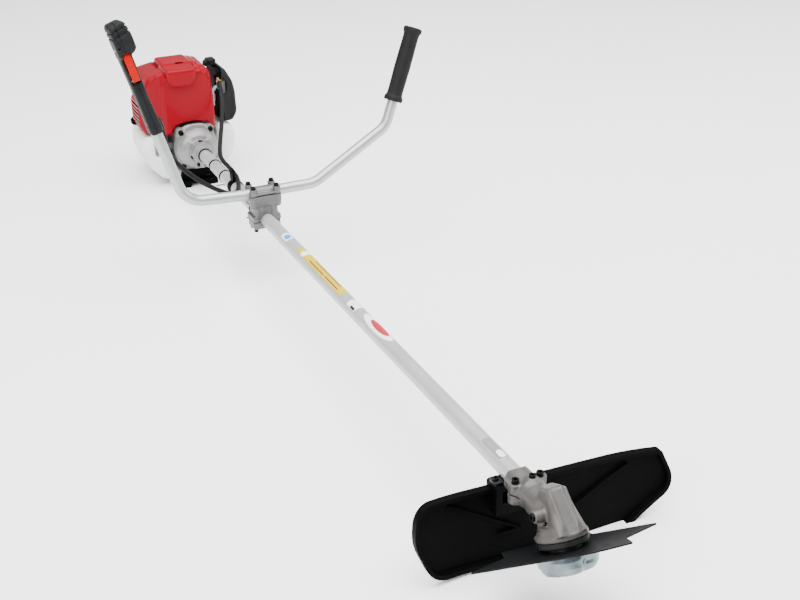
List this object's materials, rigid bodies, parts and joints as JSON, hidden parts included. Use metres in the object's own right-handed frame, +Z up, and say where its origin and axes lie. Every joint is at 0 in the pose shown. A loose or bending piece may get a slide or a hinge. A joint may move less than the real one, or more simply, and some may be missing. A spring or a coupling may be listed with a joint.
{
  "type": "brush cutter",
  "caption": "Petrol brush cutter: engine at the rear of a long drive tube, bullhorn handlebar with trigger grip, and an angled gear head with a blade and guard.",
  "frame": {"origin": "middle of the machine's bounding box on the floor it stands on", "axes": "+X forward from the engine to the blade, +Y to the user's left, +Z up"},
  "size_m": [1.871, 0.6406, 0.5297],
  "materials": {
    "black_plastic": "moulded, fine grain",
    "grey_plastic": "moulded, fine grain",
    "grip_plastic": "grained, worn at the edges",
    "foam": "open foam",
    "bright_steel": "ground",
    "blade_steel": "blued sheet, ground edges",
    "zinc_steel": "zinc plated",
    "dark_steel": "oiled",
    "screw_steel": "blackened and zinc plated",
    "black_rubber": "matte",
    "brass": "yellow chromate",
    "zinc_casting": "die cast",
    "bright_alloy": "machined",
    "silver_casting": "die cast, painted silver",
    "engine_casting": "die cast",
    "head_casting": "die cast, blasted",
    "bar_paint": "silver paint",
    "tube_paint": "light grey paint",
    "trigger_plastic": "moulded",
    "cover_red": "glossy moulded",
    "tank_plastic": "translucent natural",
    "clear_rubber": "soft clear",
    "ceramic": "white ceramic and steel",
    "rope": "braided cord"
  },
  "bodies": {
    "frame": {"air_cleaner_case": "black_plastic", "air_cleaner_element": "foam", "bearings": "bright_steel", "breather_elbow": "black_rubber", "cable_adjuster": "brass", "cable_ties": "black_plastic", "cap_screws": "screw_steel", "carburettor": "zinc_casting", "clamp_body": "silver_casting", "clamp_cap": "silver_casting", "clamp_jaw": "silver_casting", "clutch_case": "silver_casting", "con_rod": "bright_steel", "crankcase": "engine_casting", "cylinder": "engine_casting", "engine_foot": "black_plastic", "fuel_tank": "tank_plastic", "gear_case": "head_casting", "guard": "black_plastic", "guard_bracket": "dark_steel", "hanger": "black_plastic", "head_bolts": "screw_steel", "main_tube": "tube_paint", "muffler": "dark_steel", "muffler_guard": "cover_red", "piston": "bright_alloy", "plug_cap": "black_rubber", "shaft_bushes": "black_rubber", "spark_plug": "ceramic", "starter_housing": "black_plastic", "starter_rope": "rope", "throttle_cable": "black_rubber", "top_cover": "cover_red"},
    "crank": {"crankshaft": "bright_steel", "flywheel": "zinc_casting", "clutch_shoes": "dark_steel"},
    "drive": {"clutch_drum": "dark_steel", "drive_shaft": "bright_steel", "pinion": "bright_steel"},
    "cutter": {"output_gear": "bright_steel", "blade_holder": "dark_steel", "blade": "blade_steel", "blade_cup": "zinc_steel", "blade_nut": "zinc_steel"},
    "handlebar": {"handlebar": "bar_paint", "plain_grip": "black_rubber", "control_shell_inner": "grip_plastic", "control_shell_outer": "grip_plastic", "control_pins": "bright_steel"},
    "trigger": {"trigger": "trigger_plastic"},
    "lockout": {"lockout_lever": "trigger_plastic"},
    "stop_switch": {"stop_switch": "black_plastic"},
    "throttle": {"throttle_arm": "zinc_steel"},
    "choke": {"choke_lever": "black_plastic"},
    "primer": {"primer_bulb": "clear_rubber"},
    "starter_grip": {"starter_grip": "black_plastic"},
    "starter_reel": {"starter_reel": "black_plastic"},
    "fuel_cap": {"fuel_cap": "black_plastic"},
    "oil_cap": {"oil_cap": "black_plastic"},
    "air_cleaner_cover": {"air_cleaner_cover": "grey_plastic"}
  },
  "joints": [
    {"name": "crank_spin", "type": "hinge", "parent": "frame", "child": "crank", "pos_m": [-0.66037, -0.05767, 0.10187], "axis": [0.9997, 0, 0.0227], "continuous": true},
    {"name": "blade_spin", "type": "hinge", "parent": "frame", "child": "cutter", "pos_m": [0.84624, -0.05767, 0.13606], "axis": [0.5314, 0, -0.8471], "continuous": true},
    {"name": "drive_spin", "type": "hinge", "parent": "frame", "child": "drive", "pos_m": [0.84624, -0.05767, 0.13606], "axis": [0.9997, 0, 0.0227], "continuous": true},
    {"name": "handlebar_tilt", "type": "hinge", "parent": "frame", "child": "handlebar", "pos_m": [-0.2587, -0.05767, 0.1648], "axis": [0, 1, 0], "range_deg": [-20, 20], "deforming": ["throttle_cable"]},
    {"name": "trigger_pull", "type": "hinge", "parent": "handlebar", "child": "trigger", "pos_m": [-0.30372, -0.29633, 0.47834], "axis": [-0.0422, 0.9688, 0.2444], "range_deg": [0, 10], "stiffness_Nm_per_rad": 0.6, "springref_deg": -5.16},
    {"name": "lockout_press", "type": "hinge", "parent": "handlebar", "child": "lockout", "pos_m": [-0.31353, -0.28145, 0.41766], "axis": [-0.0422, 0.9688, 0.2444], "range_deg": [0, 7], "stiffness_Nm_per_rad": 0.3, "springref_deg": -6.88},
    {"name": "stop_switch_slide", "type": "slide", "parent": "handlebar", "child": "stop_switch", "axis": [0.9854, 0, 0.1702], "range_m": [0, 0.006]},
    {"name": "throttle_swing", "type": "hinge", "parent": "frame", "child": "throttle", "pos_m": [-0.7807, -0.00167, 0.20317], "axis": [0.9997, 0, 0.0227], "range_deg": [0, 60]},
    {"name": "choke_turn", "type": "hinge", "parent": "frame", "child": "choke", "pos_m": [-0.82624, -0.00167, 0.18213], "axis": [0.9997, 0, 0.0227], "range_deg": [-45, 0]},
    {"name": "primer_press", "type": "slide", "parent": "frame", "child": "primer", "axis": [-0.0227, 0, 0.9997], "range_m": [0, 0.004], "stiffness_N_per_m": 400, "springref_m": -0.001},
    {"name": "starter_pull", "type": "slide", "parent": "frame", "child": "starter_grip", "axis": [0, 1, 0], "range_m": [0, 0.6], "stiffness_N_per_m": 6, "springref_m": -0.8, "deforming": ["starter_rope"]},
    {"name": "reel_turn", "type": "hinge", "parent": "frame", "child": "starter_reel", "pos_m": [-0.66037, -0.05767, 0.10187], "axis": [0.9997, 0, 0.0227], "range_deg": [0, 1440]},
    {"name": "fuel_cap_turn", "type": "hinge", "parent": "frame", "child": "fuel_cap", "pos_m": [-0.86409, -0.15967, 0.13126], "axis": [-0.0227, 0, 0.9997], "range_deg": [0, 180]},
    {"name": "oil_cap_turn", "type": "hinge", "parent": "frame", "child": "oil_cap", "pos_m": [-0.76834, -0.12767, 0.09942], "axis": [0, -1, 0], "range_deg": [0, 180]},
    {"name": "air_cleaner_cover_swing", "type": "hinge", "parent": "frame", "child": "air_cleaner_cover", "pos_m": [-0.86113, 0.02833, 0.19934], "axis": [-0.0227, 0, 0.9997], "range_deg": [0, 95]}
  ],
  "couplings": [
    {"joint": "drive_spin", "follows": "blade_spin", "ratio": 1.3333},
    {"joint": "throttle_swing", "follows": "trigger_pull", "ratio": 6},
    {"joint": "reel_turn", "follows": "starter_pull", "rad_per_m": 41.667}
  ]
}
